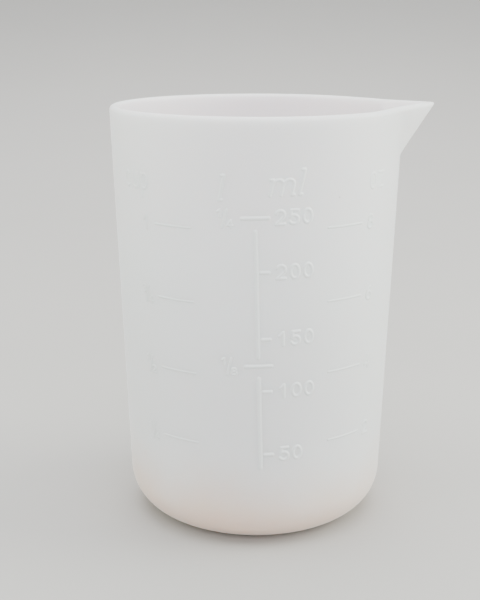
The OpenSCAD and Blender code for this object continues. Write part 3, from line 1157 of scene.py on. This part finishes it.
@dataclass(frozen=True)
class SiliconeFinish:
    """Milky translucent silicone.

    Attributes:
        name: Name of the material.
        low: Colour at the foot, warm with painted bounce light and partly the heel's own tint.
        middle: Colour of the lower wall.
        high: Colour near the rim, lighter with painted light through the thin top of the wall.
        inner: Colour of the inside, pink with painted warm reflected light.
        roughness: Lowest and highest roughness.
        sheen: Strength of the pale edge where the surface turns away.
        depth: Share of the light that travels inside.
        scatter: Distance that it travels.
        scatter_tint: Share of that distance for red, green and blue.
        scatter_lean: How much the light keeps its direction as it scatters.
        sheen_roughness: How wide the pale edge is.
        ior: Refractive index.
        bump: Height of the finest unevenness.
        stops: Shares of the cup's height at which low, middle and high stand.
        wander: How far, as such a share, the colours drift up and down.
        lint: Strength of the specks.
        lint_colour: Their colour.
    """

    name: str
    low: tuple[float, float, float]
    middle: tuple[float, float, float]
    high: tuple[float, float, float]
    inner: tuple[float, float, float]
    roughness: tuple[float, float] = (0.36, 0.5)
    sheen: float = 0.5
    depth: float = 1.0
    scatter: float = 5.0 * MM
    scatter_tint: tuple[float, float, float] = (1.0, 0.9, 0.86)
    scatter_lean: float = 0.3
    sheen_roughness: float = 0.25
    ior: float = 1.41
    bump: float = 0.012 * MM
    stops: tuple[float, float, float] = (0.02, 0.26, 0.95)
    wander: float = 0.04
    lint: float = 0.35
    lint_colour: tuple[float, float, float] = (0.25, 0.22, 0.2)

    CLOUD_RANGE = (0.3, 0.7)
    SMUDGE_RANGE = (0.35, 0.65)

    def height_colour_with_painted_light(
        self, sketch: NodeSketch, level: bpy.types.NodeSocket
    ) -> bpy.types.NodeSocket:
        """Returns the outside's colour with painted light, eased from low through middle to high.

        Args:
            sketch: The material's tree.
            level: Share of the cup's height.

        Returns:
            The colour.
        """
        node = sketch.add("ShaderNodeValToRGB", {"Fac": level})
        ramp = node.color_ramp
        ramp.interpolation = "EASE"
        first, last = ramp.elements
        first.position, first.color = self.stops[0], (*self.low, 1.0)
        last.position, last.color = self.stops[2], (*self.high, 1.0)
        ramp.elements.new(self.stops[1]).color = (*self.middle, 1.0)
        return node.outputs["Color"]

    def build(self, skin: bpy.types.NodeTree, height: float) -> bpy.types.Material:
        """Makes the material.

        Args:
            skin: The shared unevenness.
            height: Height of the cup, which the colour's change with height follows.

        Returns:
            The material.
        """
        material, sketch = start_material(self.name)
        place = sketch.add("ShaderNodeTexCoord").outputs["Object"]
        uneven = sketch.add("ShaderNodeGroup", {"Place": place}, node_tree=skin).outputs
        z = sketch.add("ShaderNodeSeparateXYZ", {"Vector": place}).outputs["Z"]
        level = sketch.span(z, (0.0, 0.0), (height, 1.0))
        low, high = self.CLOUD_RANGE
        drift = sketch.span(uneven["Cloud"], (low, -self.wander), (high, self.wander))
        # Painted light: warm bounce light at the foot, light through the thin rim at the top.
        outside = self.height_colour_with_painted_light(sketch, sketch.math("ADD", level, drift))
        inside = sketch.add("ShaderNodeAttribute", attribute_name="inside").outputs["Fac"]
        # The inside's inner colour is painted warm reflected light.
        clean = sketch.mix(inside, outside, (*self.inner, 1.0))
        dusty = sketch.math("MULTIPLY", uneven["Speck"], self.lint)
        smudged = sketch.span(uneven["Smudge"], *zip(self.SMUDGE_RANGE, self.roughness))
        bump = sketch.add("ShaderNodeBump", {
            "Height": uneven["Height"], "Distance": self.bump, "Strength": 1.0,
        })
        sketch.surface({
            "Base Color": sketch.mix(dusty, clean, (*self.lint_colour, 1.0)),
            "Roughness": smudged,
            "IOR": self.ior,
            "Subsurface Weight": self.depth,
            "Subsurface Radius": self.scatter_tint,
            "Subsurface Scale": self.scatter,
            "Subsurface Anisotropy": self.scatter_lean,
            "Sheen Weight": self.sheen,
            "Sheen Roughness": self.sheen_roughness,
            "Normal": bump.outputs["Normal"],
        })
        return material


@dataclass(frozen=True)
class PaperFinish:
    """Matt pale studio paper with a faint mottle."""

    name: str = "studio_paper"
    light: tuple[float, float, float] = (0.48, 0.465, 0.45)
    dark: tuple[float, float, float] = (0.45, 0.435, 0.42)
    mottle_scale: float = 12.0
    roughness: float = 0.85

    def build(self) -> bpy.types.Material:
        """Makes the material.

        Returns:
            The material.
        """
        material, sketch = start_material(self.name)
        place = sketch.add("ShaderNodeTexCoord").outputs["Object"]
        mottle = sketch.noise(place, self.mottle_scale, 6.0, 0.6)
        sketch.surface({
            "Base Color": sketch.mix(mottle, (*self.dark, 1.0), (*self.light, 1.0)),
            "Roughness": self.roughness,
        })
        return material


# ---------------------------------------------------------------- studio


@dataclass(frozen=True)
class SoftLight:
    """One rectangular softbox that faces the cup."""

    name: str
    place: tuple[float, float, float]
    size: tuple[float, float]
    watts: float
    colour: tuple[float, float, float] = (1.0, 1.0, 1.0)

    def build(self, target: tuple[float, float, float]) -> None:
        """Makes the light and turns it to the target.

        Args:
            target: Point that it faces.
        """
        data = bpy.data.lights.new(self.name, "AREA")
        data.shape = "RECTANGLE"
        data.size, data.size_y = self.size
        data.energy = self.watts
        data.color = self.colour
        light = new_object(self.name, data)
        away = np.array(self.place) - np.array(target)
        light.location = self.place
        light.rotation_euler = (
            math.acos(away[2] / np.linalg.norm(away)),
            0.0,
            math.atan2(away[1], away[0]) + math.pi / 2,
        )


@dataclass(frozen=True)
class Studio:
    """Pale sweep, soft lights and the camera.

    Attributes:
        distance: Camera's distance from the cup's axis.
        camera_z: Camera's height above the table.
        pitch: How far it looks down.
        yaw: How far it is turned to the left of the axis.
        lens: Focal length for the sensor's long side, in millimetres.
        sensor: That long side, in millimetres.
        clip: Nearest and farthest distance that the camera sees.
        sweep_width: Width of the sweep.
        sweep_depth: Distance from the axis to the bend behind.
        sweep_front: Distance from the axis to the sweep's front edge.
        sweep_bend: Radius of the bend.
        sweep_height: Height of the top edge.
        sweep_gap: How far the sweep lies below the cup, so that the two never coincide.
        sweep_counts: Vertices round the bend and across the sweep.
        target: Point that the lights face.
        lights: The softboxes.
        air: Colour of the surround.
        air_strength: Its strength.
    """

    distance: float = 277.8 * MM
    camera_z: float = 126.2 * MM
    pitch: float = math.radians(14.55)
    yaw: float = math.radians(0.819)
    lens: float = 66.87
    sensor: float = 36.0
    clip: tuple[float, float] = (0.01, 20.0)
    sweep_width: float = 3.0
    sweep_depth: float = 0.3
    sweep_front: float = 1.4
    sweep_bend: float = 1.3
    sweep_height: float = 1.9
    sweep_gap: float = 0.02 * MM
    sweep_counts: tuple[int, int] = (24, 9)
    target: tuple[float, float, float] = (0.0, 0.0, 0.05)
    lights: tuple[SoftLight, ...] = (
        SoftLight("overhead_softbox", (0.0, -0.05, 0.85), (0.9, 0.8), 9.2),
        SoftLight("left_softbox", (-0.62, 0.02, 0.25), (0.4, 0.6), 1.8, (0.86, 1.0, 0.76)),
        SoftLight("right_softbox", (0.62, 0.02, 0.3), (0.4, 0.6), 5.2, (0.94, 1.0, 0.86)),
        SoftLight("front_fill", (0.05, -0.9, 0.55), (0.8, 0.6), 4.0, (0.97, 0.98, 1.0)),
        SoftLight("back_light", (0.0, 0.6, 0.5), (0.6, 0.3), 2.5),
    )
    air: tuple[float, float, float] = (0.95, 0.98, 1.0)
    air_strength: float = 1.1

    def build_camera(self) -> None:
        """Makes the scene's camera."""
        data = bpy.data.cameras.new("camera")
        data.lens = self.lens
        data.sensor_width = self.sensor
        data.clip_start, data.clip_end = self.clip
        camera = new_object("camera", data)
        camera.location = (0.0, -self.distance, self.camera_z)
        camera.rotation_euler = (math.pi / 2 - self.pitch, 0.0, self.yaw)
        bpy.context.scene.camera = camera

    def build_sweep(self) -> None:
        """Makes the floor and backdrop as one sheet: level, a quarter bend, then upright."""
        turn = np.linspace(0.0, math.pi / 2, self.sweep_counts[0])
        bend = self.sweep_bend
        y = np.concatenate([
            [-self.sweep_front, 0.0],
            self.sweep_depth + bend * np.sin(turn),
            [self.sweep_depth + bend],
        ])
        z = np.concatenate([[0.0, 0.0], bend * (1.0 - np.cos(turn)), [self.sweep_height]])
        x = np.linspace(-self.sweep_width / 2, self.sweep_width / 2, self.sweep_counts[1])
        places = np.stack(
            np.broadcast_arrays(x, y[:, None], z[:, None] - self.sweep_gap), axis=-1
        )
        quads = grid_quads(len(y), len(x), False)
        sweep = new_piece("studio_sweep", places.reshape(-1, 3), [quads])
        sweep.data.materials.append(PaperFinish().build())

    def build_world(self) -> None:
        """Sets an even pale surround."""
        world = bpy.data.worlds.new("studio_air")
        world.use_nodes = True
        inputs = world.node_tree.nodes["Background"].inputs
        inputs["Color"].default_value = (*self.air, 1.0)
        inputs["Strength"].default_value = self.air_strength
        bpy.context.scene.world = world

    def build(self) -> None:
        """Builds camera, sweep, lights and surround."""
        self.build_camera()
        self.build_sweep()
        self.build_world()
        for light in self.lights:
            light.build(self.target)


# ---------------------------------------------------------------- assembly


def dress(piece: bpy.types.Object, material: bpy.types.Material,
          nodes: tuple[str, ...]) -> None:
    """Gives a piece its finish and ties it to the frame.

    Args:
        piece: The piece.
        material: Its finish.
        nodes: The CAD nodes that it stands for.
    """
    piece.data.materials.append(material)
    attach(piece, ROOT_BODY)
    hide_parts(*nodes)
    LOG.info("%s: %d faces, for %s", piece.name, len(piece.data.polygons), ", ".join(nodes))


def main() -> None:
    """Builds the studio, the cup body and its raised scales."""
    logging.basicConfig(level=logging.INFO, format="%(name)s: %(message)s")
    Studio().build()
    uneven = MouldedSkin().build()
    shape = WallShape.from_frame()
    skin = SiliconeFinish(
        name="milky_silicone",
        # Painted warm bounce light at the foot (partly its own tint), painted light at the rim.
        low=(0.79, 0.64, 0.55),
        middle=(0.80, 0.82, 0.82),
        high=(0.93, 0.985, 0.97),
        # The pink inside is painted warm reflected light.
        inner=(0.90, 0.83, 0.855),
    ).build(uneven, shape.rim_z)
    # The marks are the wall's silicone painted lighter, a lit copy for light scattered in them.
    raised = SiliconeFinish(
        name="raised_silicone",
        low=(0.84, 0.76, 0.74),
        middle=(0.85, 0.87, 0.87),
        high=(0.96, 0.99, 0.985),
        inner=(0.85, 0.87, 0.87),
        sheen=0.1,
        depth=0.0,
    )
    # The side marks' copy has less of that painted light.
    faint = replace(
        raised,
        name="faint_raised_silicone",
        middle=(0.82, 0.84, 0.84),
        high=(0.91, 0.95, 0.94),
    )
    front, side = (finish.build(uneven, shape.rim_z) for finish in (raised, faint))
    body = CupBody(shape).build()
    dress(body, skin, ("cup_wall", "cup_base", "pouring_lip"))
    for piece, node in MouldedScales(shape).build():
        # The marks and the wall are one body, so light that meets a mark goes on into the wall
        piece.visible_shadow = False
        finish = side if node.startswith(MouldedScales.SIDE_NODES) else front
        dress(piece, finish, (node,))


if __name__ == "__main__":
    main()
